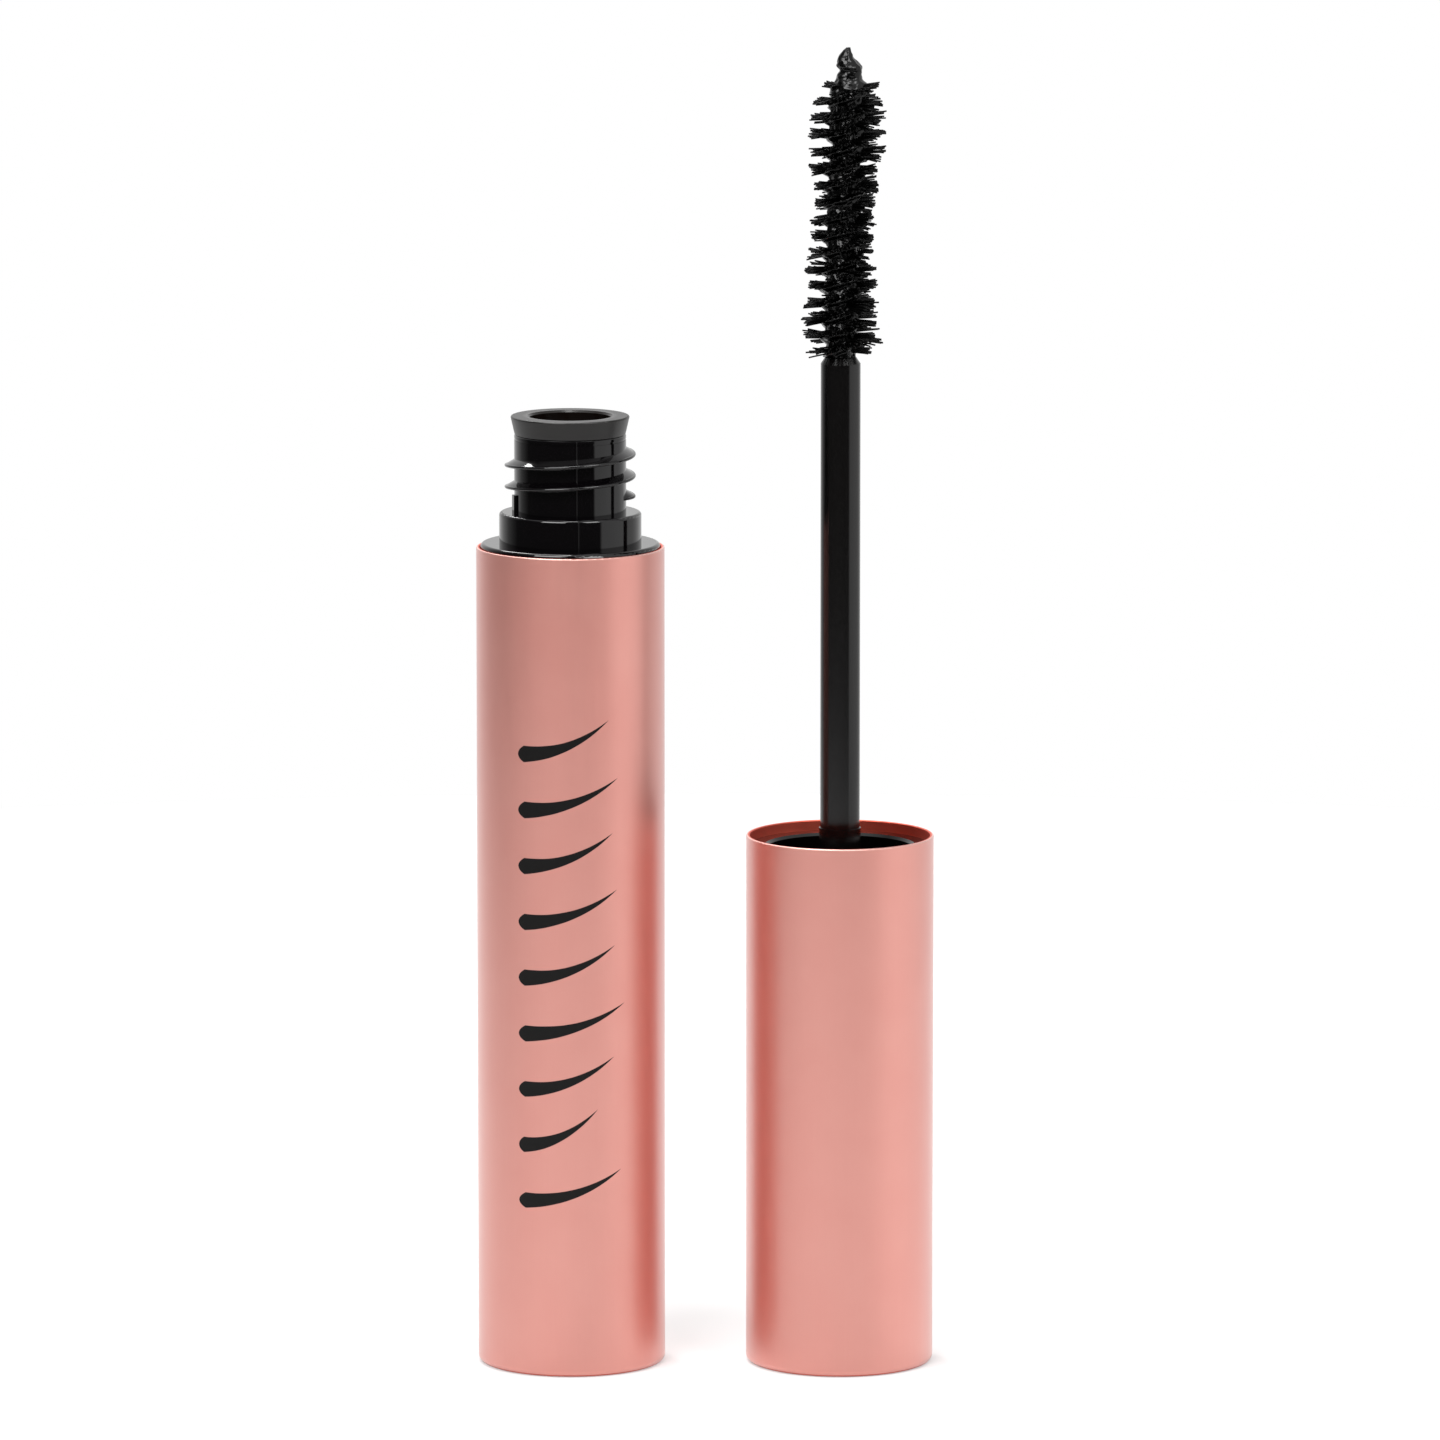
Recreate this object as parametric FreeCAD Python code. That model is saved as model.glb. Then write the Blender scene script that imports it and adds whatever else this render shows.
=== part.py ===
import FreeCAD, Part
import math
import os

# A mascara tube, open, with its cap and wand stood on the cap's closed end beside it.
#
# Frame: millimetres, +Z up, origin at the middle of the tube's base. The cap and wand are
# modelled where they sit when the tube is closed, on the tube's own axis, so that every fit
# comes straight from the tube's sizes. At the end they are turned over and set out beside it.

# ---- metal shells -------------------------------------------------------------------------
barrel_radius = 9.0          # outside of the tube's sleeve and of the cap's shell
sleeve_height = 79.2         # tube's sleeve, base to rim
cap_height = 51.3            # cap's shell, closed end to rim
shell_gauge = 0.35           # drawn aluminium, side wall
shell_end = 0.5              # drawn aluminium, closed end
shell_edge = 0.6             # outside rounding where the side meets the closed end
shell_rim_round = 0.1        # softened rim
press_gap = 0.05             # between a moulding and the metal shell that it is pressed into
closing_gap = 0.1            # between the two rims when the cap is screwed home
stand_off = 25.8             # tube's axis to the cap's axis as they stand

# ---- bottle -------------------------------------------------------------------------------
bottle_wall = 1.3
bottle_floor = 1.2
bottle_edge = 0.8            # rounding of the bottle's foot
shoulder_proud = 0.38        # shoulder above the sleeve's rim
shoulder_round = 0.35
shoulder_roof = 1.6          # thickness of the shoulder
shoulder_width = 1.8         # from the shoulder's edge in to the collar
collar_height = 3.36         # top of the collar above the sleeve's rim
collar_round = 0.3
neck_height = 10.85          # top of the neck above the sleeve's rim
neck_wall = 0.75
neck_chamfer = 0.14
groove_depth = 0.1           # fine groove round the neck just under its top
groove_width = 0.2
groove_drop = 0.38           # top of the neck to the top of the groove
stop_lug_proud = 0.26        # lug beside the thread's foot that stops the cap
stop_lug_width = 0.8
stop_lug_height = 1.75
stop_lug_angle = 194.0

# ---- thread: right-handed, single start, flat underside that holds the cap down -------------
thread_inset = 0.53          # crest inside the collar's radius
thread_lead = 2.07
thread_depth = 0.92          # crest above the neck
thread_headroom = 1.4376     # top of the neck above the highest crest
thread_foot = 1.25           # lowest crest above the collar
thread_foot_angle = -25.0    # degrees round the axis from +X where the thread begins
thread_fade = 30.0           # degrees over which each end runs out
thread_section_step = 15.0   # degrees between the sections of the loft
thread_root_depth = 0.35     # thread's root under the wall that it stands on
thread_sink = 0.12           # crest under that wall where the thread runs out

# ---- wiper --------------------------------------------------------------------------------
wiper_flange_overhang = 0.32 # flange's rim past the neck
wiper_flange_foot_inset = 0.05
wiper_flange_height = 1.75
wiper_flange_round = 0.15
wiper_mouth_chamfer = 0.2
wiper_mouth_wall = 0.7       # mouth inside the neck's bore
wiper_funnel_drop = 0.5      # neck's top to where the mouth has narrowed to the wiper's bore
wiper_wall = 0.8
wiper_length = 12.0          # under the flange
wiper_cone = 4.0             # length of the cone that narrows to the lip
wiper_lip = 0.5              # thickness at the lip
wiper_lip_height = 0.6
wiper_fit = 0.05             # between the wiper and the neck's bore
wipe_clearance = 0.15        # lip to rod

# ---- cap's moulding -----------------------------------------------------------------------
rim_recess = 1.0             # moulding's rim inside the shell's rim
collar_clearance = 0.2
collar_end_clearance = 0.34
mouth_chamfer = 0.25
thread_root_clearance = 0.18
thread_crest_clearance = 0.13
cap_thread_base = 1.2        # width of the cap's thread at its root
cap_thread_crest = 0.5       # width of the cap's thread at its crest
cap_thread_short = 0.07      # turns by which the cap's thread is the shorter
washer_thickness = 0.8
washer_wall_gap = 0.15
washer_rod_gap = 0.1
washer_seat_gap = 0.05       # washer to the socket's floor, and wiper to washer
washer_bevel = 0.08
socket_floor = 1.5
boss_wall = 1.5
boss_roof = 1.2
rod_seat = 11.0              # depth of the rod's seat in the boss, from the socket's floor
skirt_wall = 1.1
web_thickness = 0.9
web_count = 4
web_short = 2.0              # webs stop short of the boss's end
weld = 0.3                   # how far a web, spline or lug runs into what it stands on
spline_count = 24
spline_proud = 0.1
spline_width = 0.5
spline_run_out = 1.5         # plain length of the moulding above and below the splines

# ---- wand ---------------------------------------------------------------------------------
rod_radius = 1.9
rod_root_step = 0.1          # thicker stretch in the cap's mouth
rod_root_reach = 0.7         # thicker stretch past the cap's rim
rod_reach = 46.1             # rod past the cap's rim
rod_nose = 0.6               # length of the taper at the rod's end
rod_nose_depth = 0.4         # how much the taper takes off the radius
rod_seat_gap = 0.03
rod_seat_bevel = 0.3
wire_radius = 0.28
wire_gap = 0.01              # half the gap between the two strands
wire_stem = 8.0              # length held in the rod
wire_hole_gap = 0.04
wire_end_gap = 0.3           # wire's ends to the hole's end
twist_pitch = 3.2
brush_length = 26.2
brush_lean = 1.3             # degrees that the brush leans from the rod's axis
brush_start = 0.3            # rod's end to the first fibres
brush_start_radius = 2.9
brush_root_at = 1.6          # rod's end to the full width of the brush's root
brush_root_radius = 3.8
brush_waist_from = 0.45      # shares of the brush's length
brush_waist_to = 0.6
brush_waist_radius = 3.2
brush_belly_at = 0.8
brush_belly_radius = 3.82
brush_brow_at = 0.91
brush_brow_radius = 3.47
brush_end_radius = 2.1
coat_radius = 1.75           # mascara clinging round the wire
coat_gap = 0.05              # mascara to wire, and fibres to mascara
coat_start = 0.4             # rod's end to the first of the mascara
coat_ramp = 0.8              # length over which it swells to its full radius
coat_ramp_depth = 0.4
blob_length = 3.75           # drop of mascara past the last fibres
blob_radius = 1.3
blob_neck_radius = 1.55
blob_neck_at = 0.4           # last fibres to the drop's neck
blob_point_radius = 0.45
blob_point_length = 0.1

# ---- contents -----------------------------------------------------------------------------
contents_height = 70.0       # mascara's level above the base
contents_gap = 0.05
contents_floor = 0.85        # thickness of mascara left under the brush
brush_room = 0.4             # tunnel round the brush
tunnel_mouth_width = 0.6     # widening of the tunnel at the mascara's surface
tunnel_mouth_slope = 0.8     # fall of the surface towards the tunnel
tunnel_mouth_depth = 3.0
tunnel_foot = 1.0            # bevel at the foot of the tunnel

# ---- what follows from them ---------------------------------------------------------------
shell_bore = barrel_radius - shell_gauge
moulding_radius = shell_bore - press_gap
collar_radius = moulding_radius - shoulder_width
thread_crest = collar_radius - thread_inset
neck_radius = thread_crest - thread_depth
bottle_foot = shell_end
bottle_bore = moulding_radius - bottle_wall
cavity_floor = bottle_foot + bottle_floor
shoulder_top = sleeve_height + shoulder_proud
collar_top = sleeve_height + collar_height
neck_top = sleeve_height + neck_height
neck_bore = neck_radius - neck_wall
thread_start = collar_top + thread_foot
thread_turns = (neck_top - thread_headroom - thread_start) / thread_lead
cap_thread_turns = thread_turns - cap_thread_short
wiper_top = neck_top + wiper_flange_height
wiper_foot = neck_top - wiper_length
wiper_radius = neck_bore - wiper_fit
wiper_flange_radius = neck_radius + wiper_flange_overhang
wiper_flange_foot_radius = neck_radius - wiper_flange_foot_inset
wiper_mouth_radius = neck_bore - wiper_mouth_wall
wiper_orifice = rod_radius + wipe_clearance

closed_rim = sleeve_height + closing_gap
closed_top = closed_rim + cap_height
moulding_rim = closed_rim + rim_recess
collar_recess = collar_radius + collar_clearance
collar_recess_end = collar_top + collar_end_clearance
socket_radius = thread_crest + thread_root_clearance
cap_crest = wiper_flange_radius + thread_crest_clearance
socket_end = wiper_top + washer_seat_gap + washer_thickness + washer_seat_gap
skirt_end = closed_top - shell_end - press_gap
rod_root_radius = rod_radius + rod_root_step
boss_radius = rod_root_radius + rod_seat_gap + boss_wall
boss_end = socket_end + rod_seat + boss_roof

rod_end = closed_rim - rod_reach
wire_outer = 2 * wire_radius + wire_gap
wire_hole = wire_outer + wire_stem * math.tan(math.radians(brush_lean)) + wire_hole_gap
brush_reach = (brush_length + blob_length) * math.sin(math.radians(brush_lean))
tunnel_radius = brush_belly_radius + brush_reach + brush_room


def arc(centre, radius, from_angle, to_angle):
    """Middle and end of an arc in the (r, z) half-plane, angles in degrees from +r to +z."""
    places = []
    for angle in ((from_angle + to_angle) / 2, to_angle):
        turn = math.radians(angle)
        places.append((centre[0] + radius * math.cos(turn), centre[1] + radius * math.sin(turn)))
    return tuple(places)


def outline(start, steps):
    """Closed wire in the XZ plane. A step is an (r, z) corner, or the two places of an arc."""
    def place(corner):
        return FreeCAD.Vector(corner[0], 0, corner[1])

    edges = []
    here = start
    for step in list(steps) + [start]:
        if isinstance(step[0], tuple):
            middle, end = step
            edges.append(Part.Arc(place(here), place(middle), place(end)).toShape())
        else:
            end = step
            edges.append(Part.LineSegment(place(here), place(end)).toShape())
        here = end
    return Part.Wire(edges)


def turned(start, *steps):
    """Solid turned about the Z axis from an (r, z) outline."""
    return Part.Face(outline(start, steps)).revolve(
        FreeCAD.Vector(0, 0, 0), FreeCAD.Vector(0, 0, 1), 360)


def block(inner, outer, width, low, high, angle):
    """Upright bar lying across the radius from inner to outer, turned about Z."""
    bar = Part.makeBox(outer - inner, width, high - low, FreeCAD.Vector(inner, -width / 2, low))
    bar.rotate(FreeCAD.Vector(0, 0, 0), FreeCAD.Vector(0, 0, 1), angle)
    return bar


def thread(section, start_angle, start_height, turns):
    """Thread lofted through copies of section(height), which fades from 0 to 1 at each end."""
    whole = turns * 360.0
    count = int(math.ceil(whole / thread_section_step))
    wires = []
    for i in range(count + 1):
        angle = whole * i / count
        nearest_end = min(angle, whole - angle)
        height = 0.5 - 0.5 * math.cos(math.pi * min(1.0, nearest_end / thread_fade))
        ring = section(height)
        ring.translate(FreeCAD.Vector(0, 0, start_height + thread_lead * angle / 360.0))
        ring.rotate(FreeCAD.Vector(0, 0, 0), FreeCAD.Vector(0, 0, 1), start_angle + angle)
        wires.append(ring)
    return Part.makeLoft(wires, True, False)


def neck_thread_section(height):
    """Bottle's thread: sloped on top, nearly flat underneath, rounded crest. Sunk where it ends."""
    width = 0.4 + 0.6 * height
    buried = neck_radius - thread_root_depth
    crest = neck_radius - thread_sink + (thread_depth + thread_sink) * height
    tip = crest - 0.18 * width
    return outline(
        (buried, 0.78 * width),
        [(tip, 0.14 * width), ((crest, 0.0), (tip, -0.16 * width)), (buried, -0.38 * width)])


def cap_thread_section(height):
    """Cap's thread, which lies between the turns of the bottle's. Sunk where it ends."""
    width = 0.4 + 0.6 * height
    buried = socket_radius + thread_root_depth
    sunk = socket_radius + thread_sink
    crest = sunk - (sunk - cap_crest) * height
    base = cap_thread_base / 2 * width
    land = cap_thread_crest / 2 * width
    return outline((buried, base), [(buried, -base), (crest, -land), (crest, land)])


def drawn_can(height):
    """Thin metal can standing on its closed end."""
    inner_edge = max(shell_edge - shell_gauge, 0.05)
    lip = min(shell_rim_round, 0.45 * shell_gauge)
    return turned(
        (0, 0),
        (barrel_radius - shell_edge, 0),
        arc((barrel_radius - shell_edge, shell_edge), shell_edge, -90, 0),
        (barrel_radius, height - lip),
        arc((barrel_radius - lip, height - lip), lip, 0, 90),
        (shell_bore + lip, height),
        arc((shell_bore + lip, height - lip), lip, 90, 180),
        (shell_bore, shell_end + inner_edge),
        arc((shell_bore - inner_edge, shell_end + inner_edge), inner_edge, 0, -90),
        (0, shell_end))


def make_tube_sleeve():
    return drawn_can(sleeve_height)


def make_bottle():
    """Inner bottle: body, shoulder, collar and threaded neck in one moulding."""
    groove_top = neck_top - groove_drop
    groove_low = groove_top - groove_width
    inner_edge = max(bottle_edge - bottle_wall / 2, 0.2)
    body = turned(
        (0, bottle_foot),
        (moulding_radius - bottle_edge, bottle_foot),
        arc((moulding_radius - bottle_edge, bottle_foot + bottle_edge), bottle_edge, -90, 0),
        (moulding_radius, shoulder_top - shoulder_round),
        arc((moulding_radius - shoulder_round, shoulder_top - shoulder_round), shoulder_round, 0, 90),
        (collar_radius, shoulder_top),
        (collar_radius, collar_top - collar_round),
        arc((collar_radius - collar_round, collar_top - collar_round), collar_round, 0, 90),
        (neck_radius, collar_top),
        (neck_radius, groove_low),
        (neck_radius - groove_depth, groove_low),
        (neck_radius - groove_depth, groove_top),
        (neck_radius, groove_top),
        (neck_radius, neck_top - neck_chamfer),
        (neck_radius - neck_chamfer, neck_top),
        (neck_bore, neck_top),
        (neck_bore, shoulder_top - shoulder_roof),
        (bottle_bore, shoulder_top - shoulder_roof - (bottle_bore - neck_bore)),
        (bottle_bore, cavity_floor + inner_edge),
        arc((bottle_bore - inner_edge, cavity_floor + inner_edge), inner_edge, 0, -90),
        (0, cavity_floor))
    screw = thread(neck_thread_section, thread_foot_angle, thread_start, thread_turns)
    lug = block(
        neck_radius - weld, neck_radius + stop_lug_proud, stop_lug_width,
        collar_top - weld, collar_top + stop_lug_height, stop_lug_angle)
    return body.fuse([screw, lug]).removeSplitter()


def make_wiper():
    """Soft flanged sleeve in the neck, narrowing to the lip that wipes the rod."""
    bore = wiper_radius - wiper_wall
    cone_top = wiper_foot + wiper_cone
    return turned(
        (wiper_mouth_radius + wiper_mouth_chamfer, wiper_top),
        (wiper_flange_radius - wiper_flange_round, wiper_top),
        arc((wiper_flange_radius - wiper_flange_round, wiper_top - wiper_flange_round),
            wiper_flange_round, 90, 0),
        (wiper_flange_foot_radius, neck_top),
        (wiper_radius, neck_top),
        (wiper_radius, cone_top),
        (wiper_orifice + wiper_lip, wiper_foot),
        (wiper_orifice, wiper_foot),
        (wiper_orifice, wiper_foot + wiper_lip_height),
        (bore, cone_top + wiper_lip_height),
        (bore, neck_top - wiper_funnel_drop),
        (wiper_mouth_radius, neck_top + wiper_mouth_chamfer),
        (wiper_mouth_radius, wiper_top - wiper_mouth_chamfer))


def make_mascara_paste():
    """Mascara left on the bottle's wall and floor, with the brush's tunnel down its middle."""
    radius = bottle_bore - contents_gap
    low = cavity_floor + contents_gap
    edge = bottle_edge
    floor = low + contents_floor
    return turned(
        (0, low),
        (radius - edge, low),
        arc((radius - edge, low + edge), edge, -90, 0),
        (radius, contents_height),
        (tunnel_radius + tunnel_mouth_width, contents_height - tunnel_mouth_slope),
        (tunnel_radius, contents_height - tunnel_mouth_depth),
        (tunnel_radius, floor + tunnel_foot),
        (tunnel_radius - tunnel_foot, floor),
        (0, floor))


def make_cap_shell():
    """Cap's drawn shell, in its closed place with its closed end up."""
    can = drawn_can(cap_height)
    can.rotate(FreeCAD.Vector(0, 0, 0), FreeCAD.Vector(0, 1, 0), 180)
    can.translate(FreeCAD.Vector(0, 0, closed_top))
    return can


def make_inner_cap():
    """Cap's moulding: threaded socket, boss for the rod, webs, and a skirt pressed in the shell."""
    plain = moulding_radius - spline_proud
    inner_skirt = plain - skirt_wall
    web_top = boss_end - web_short
    body = turned(
        (collar_recess + mouth_chamfer, moulding_rim),
        (moulding_radius, moulding_rim),
        (moulding_radius, moulding_rim + spline_run_out),
        (plain, moulding_rim + spline_run_out),
        (plain, skirt_end - shell_edge),
        (plain - shell_edge, skirt_end),
        (inner_skirt, skirt_end),
        (inner_skirt, socket_end + socket_floor),
        (boss_radius, socket_end + socket_floor),
        (boss_radius, boss_end),
        (0, boss_end),
        (0, boss_end - boss_roof),
        (rod_root_radius + rod_seat_gap, boss_end - boss_roof),
        (rod_root_radius + rod_seat_gap, socket_end),
        (socket_radius, socket_end),
        (socket_radius, collar_recess_end),
        (collar_recess, collar_recess_end),
        (collar_recess, moulding_rim + mouth_chamfer))
    screw = thread(cap_thread_section, thread_foot_angle + 180.0 * cap_thread_short,
                   thread_start + thread_lead * (cap_thread_short / 2 + 0.5), cap_thread_turns)
    extras = [screw]
    for i in range(web_count):
        extras.append(block(boss_radius - weld, inner_skirt + weld, web_thickness,
                            socket_end + socket_floor - weld, web_top, 360.0 * (i + 0.5) / web_count))
    for i in range(spline_count):
        extras.append(block(plain - weld, moulding_radius, spline_width,
                            moulding_rim + spline_run_out - weld, skirt_end - spline_run_out,
                            360.0 * (i + 0.5) / spline_count))
    return body.fuse(extras).removeSplitter()


def make_seal_washer():
    """Loose sealing ring round the rod, nipped between the socket's floor and the wiper."""
    low = wiper_top + washer_seat_gap
    high = low + washer_thickness
    outer = socket_radius - washer_wall_gap
    inner = rod_root_radius + washer_rod_gap
    return turned(
        (inner, low), (outer - washer_bevel, low), (outer, low + washer_bevel),
        (outer, high - washer_bevel), (outer - washer_bevel, high), (inner, high))


def make_rod():
    """Moulded rod: seated in the cap's boss, thicker as far as the rim, drilled for the wire."""
    seat_top = boss_end - boss_roof - rod_seat_gap
    root_end = closed_rim - rod_root_reach
    hole_end = rod_end + wire_stem + wire_end_gap
    return turned(
        (0, hole_end),
        (wire_hole, hole_end),
        (wire_hole, rod_end),
        (rod_radius - rod_nose_depth, rod_end),
        (rod_radius, rod_end + rod_nose),
        (rod_radius, root_end),
        (rod_root_radius, root_end),
        (rod_root_radius, seat_top - rod_seat_bevel),
        (rod_root_radius - rod_seat_bevel, seat_top),
        (0, seat_top))


def lean(shape):
    """Tilt a piece of the brush about the rod's end, towards -X as the tube is closed."""
    shape.rotate(FreeCAD.Vector(0, 0, rod_end), FreeCAD.Vector(0, 1, 0), brush_lean)
    return shape


def make_brush_wire():
    """One wire folded in two and twisted, its two ends held in the rod."""
    length = brush_length + wire_stem
    path_radius = wire_radius + wire_gap
    low = rod_end - brush_length
    strands = []
    for half in (0, 180):
        path = Part.makeHelix(twist_pitch, length, path_radius)
        circle = Part.Wire(Part.makeCircle(
            wire_radius, FreeCAD.Vector(path_radius, 0, 0), FreeCAD.Vector(0, 1, 0)))
        strand = Part.Wire(path).makePipeShell([circle], True, True)
        strand.rotate(FreeCAD.Vector(0, 0, 0), FreeCAD.Vector(0, 0, 1), half)
        strand.translate(FreeCAD.Vector(0, 0, low))
        strands.append(strand)
    fold = Part.makeTorus(path_radius, wire_radius, FreeCAD.Vector(0, 0, low), FreeCAD.Vector(0, 1, 0),
                          0, 360, 180)
    return lean(Part.makeCompound(strands + [fold]))


def brush_place(along):
    """Height, in the closed tube, of a place so far along the brush from the rod's end."""
    return rod_end - along


def make_bristles():
    """Soft sleeve in the outer shape of the fibres: an hourglass that narrows at its end."""
    bore = coat_radius + coat_gap
    outer = [
        (brush_start_radius, brush_place(brush_start)),
        (brush_root_radius, brush_place(brush_root_at)),
        (brush_waist_radius, brush_place(brush_waist_from * brush_length)),
        (brush_waist_radius, brush_place(brush_waist_to * brush_length)),
        (brush_belly_radius, brush_place(brush_belly_at * brush_length)),
        (brush_brow_radius, brush_place(brush_brow_at * brush_length)),
        (brush_end_radius, brush_place(brush_length))]
    curve = Part.BSplineCurve()
    curve.interpolate([FreeCAD.Vector(r, 0, z) for r, z in outer])
    first = FreeCAD.Vector(outer[0][0], 0, outer[0][1])
    last = FreeCAD.Vector(outer[-1][0], 0, outer[-1][1])
    inner_first = FreeCAD.Vector(bore, 0, outer[0][1])
    inner_last = FreeCAD.Vector(bore, 0, outer[-1][1])
    edges = [
        curve.toShape(),
        Part.LineSegment(last, inner_last).toShape(),
        Part.LineSegment(inner_last, inner_first).toShape(),
        Part.LineSegment(inner_first, first).toShape()]
    sleeve = Part.Face(Part.Wire(edges)).revolve(
        FreeCAD.Vector(0, 0, 0), FreeCAD.Vector(0, 0, 1), 360)
    return lean(sleeve)


def make_brush_paste():
    """Mascara clinging round the wire, with the drop that hangs past the last fibres."""
    bore = wire_outer + coat_gap
    end = brush_place(brush_length)
    tip = end - blob_length
    pocket = end - 2 * wire_radius - 2 * coat_gap
    coat = turned(
        (bore, brush_place(coat_start)),
        (coat_radius - coat_ramp_depth, brush_place(coat_start)),
        (coat_radius, brush_place(coat_start + coat_ramp)),
        (coat_radius, end),
        (blob_neck_radius, end - blob_neck_at),
        (blob_radius, end - blob_length / 2),
        (blob_point_radius, tip + blob_point_length),
        (0, tip),
        (0, pocket - wire_radius),
        (bore, pocket))
    return lean(coat)


def set_out(shape):
    """Turn a piece of the closed cap or wand over and stand it beside the tube."""
    shape.rotate(FreeCAD.Vector(0, 0, 0), FreeCAD.Vector(0, 1, 0), 180)
    shape.translate(FreeCAD.Vector(stand_off, 0, closed_top))
    return shape


def main():
    os.makedirs("parts", exist_ok=True)
    tube = {
        "tube_sleeve": make_tube_sleeve(),
        "bottle": make_bottle(),
        "wiper": make_wiper(),
        "mascara_paste": make_mascara_paste()}
    wand = {
        "cap_shell": make_cap_shell(),
        "inner_cap": make_inner_cap(),
        "seal_washer": make_seal_washer(),
        "rod": make_rod(),
        "brush_wire": make_brush_wire(),
        "bristles": make_bristles(),
        "brush_paste": make_brush_paste()}
    pieces = dict(tube)
    for name, shape in wand.items():
        pieces[name] = set_out(shape)
    for name, shape in pieces.items():
        shape.exportStep("parts/" + name + ".step")
        box = shape.BoundBox
        print(name, "valid", shape.isValid(), "solids", len(shape.Solids), "volume", round(shape.Volume, 2),
              "z", round(box.ZMin, 2), round(box.ZMax, 2))


main()
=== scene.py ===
# %% [markdown]
# # A mascara tube, open, with its wand stood beside it
#
# The object is small: a metal barrel 18 mm across, a black threaded neck with a soft wiper in it,
# and a metal cap that carries the rod and the brush. Its shells and mouldings are exact shapes, so
# they come from the CAD frame and only get their finish here. The brush is different. Hundreds of
# fibres, and the wet mascara on them, can't sensibly be drawn one by one in CAD, so this lesson
# makes them with Geometry Nodes and mesh code.

# %% Load the frame
import bpy
import math
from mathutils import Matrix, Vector, noise


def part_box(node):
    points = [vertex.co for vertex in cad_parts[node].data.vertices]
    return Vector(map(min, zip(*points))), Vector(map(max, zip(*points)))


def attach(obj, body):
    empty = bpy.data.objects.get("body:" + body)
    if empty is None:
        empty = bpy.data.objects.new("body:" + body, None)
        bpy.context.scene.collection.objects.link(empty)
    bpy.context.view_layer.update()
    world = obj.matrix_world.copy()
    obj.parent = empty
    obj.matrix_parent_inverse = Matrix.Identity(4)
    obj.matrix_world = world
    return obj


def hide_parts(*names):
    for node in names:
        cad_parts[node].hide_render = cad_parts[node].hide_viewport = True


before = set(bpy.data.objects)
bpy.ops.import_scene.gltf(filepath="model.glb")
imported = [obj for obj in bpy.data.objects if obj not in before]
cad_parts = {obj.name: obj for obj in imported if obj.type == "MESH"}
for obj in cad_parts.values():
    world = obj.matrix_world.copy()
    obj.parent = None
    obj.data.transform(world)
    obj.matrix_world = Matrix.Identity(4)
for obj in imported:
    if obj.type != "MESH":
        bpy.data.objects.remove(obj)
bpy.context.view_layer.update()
MM = 0.001
print("nodes:", sorted(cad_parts))

# %% [markdown]
# ## Places that everything else is measured from
#
# A piece goes where the frame says. The tube stands on the origin, and the cap and wand have an
# axis of their own, which is the middle of the cap's shell. Heights such as the sleeve's rim and the
# rod's end are the corners of those nodes' boxes.

# %% Measure the frame
cap_low, cap_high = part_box("cap_shell")
wand_x = (cap_low[0] + cap_high[0]) / 2
cap_rim = cap_high[2]
sleeve_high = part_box("tube_sleeve")[1]
wall_radius, sleeve_rim = sleeve_high[0], sleeve_high[2]
rod_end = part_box("rod")[1][2]
brush_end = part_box("bristles")[1][2]
print(f"wand axis at x = {wand_x / MM:.1f} mm, rod ends {rod_end / MM:.1f} mm up")

# %% [markdown]
# ## Two small helpers for materials
#
# Colours are written as the hex values that a colour picker shows. Those are sRGB, and a shader
# works in linear light, so one function converts them. The other adds a node to a tree with its
# settings and its links: a value that is a node or a socket is linked, and any other value is set.
# That one function serves for every kind of node, in materials and in Geometry Nodes alike.

# %% Helpers for colours and nodes
MATH, VECTOR_MATH = "ShaderNodeMath", "ShaderNodeVectorMath"
RANDOM = "FunctionNodeRandomValue"          # 2 and 3 are its low and high, and output 1 its value
RANGE = "ShaderNodeMapRange"      # its sockets: value, from low, from high, to low, to high


def colour(text):
    """Linear red, green, blue and alpha of an sRGB hex value."""
    parts = [int(text[i:i + 2], 16) / 255 for i in (1, 3, 5)]
    linear = [v / 12.92 if v <= 0.04045 else ((v + 0.055) / 1.055) ** 2.4 for v in parts]
    return (*linear, 1.0)


def add(tree, kind, inputs=None, **settings):
    """Add a node. inputs maps a socket to a value, another socket, or a node (its first output)."""
    made = tree.nodes.new(kind)
    for name, value in settings.items():
        setattr(made, name, value)
    for key, value in (inputs or {}).items():
        if isinstance(value, bpy.types.Node):
            value = value.outputs[0]
        if isinstance(value, bpy.types.NodeSocket):
            tree.links.new(value, made.inputs[key])
        else:
            made.inputs[key].default_value = value
    return made


def new_material(name):
    """A material with an empty tree, and its output node."""
    material = bpy.data.materials.new(name)
    material.use_nodes = True
    material.node_tree.nodes.clear()
    return material, material.node_tree, add(material.node_tree, "ShaderNodeOutputMaterial")


def finish_with(tree, output, shader):
    tree.links.new(shader.outputs[0], output.inputs["Surface"])


# %% [markdown]
# ## Camera
#
# A product shot of something this small is taken from about a metre away with a long lens, a
# little above the object, so that upright lines stay upright. The lens here is as long as the
# perspective asks for: the two barrels hardly narrow towards their feet.

# %% Camera
scene = bpy.context.scene
LENS_MM = 283.0
CAMERA_DISTANCE = 1.084
CAMERA_DOWN = math.radians(8.85)
look_at = Vector((0.0143, 0.0, 0.0624))

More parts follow.
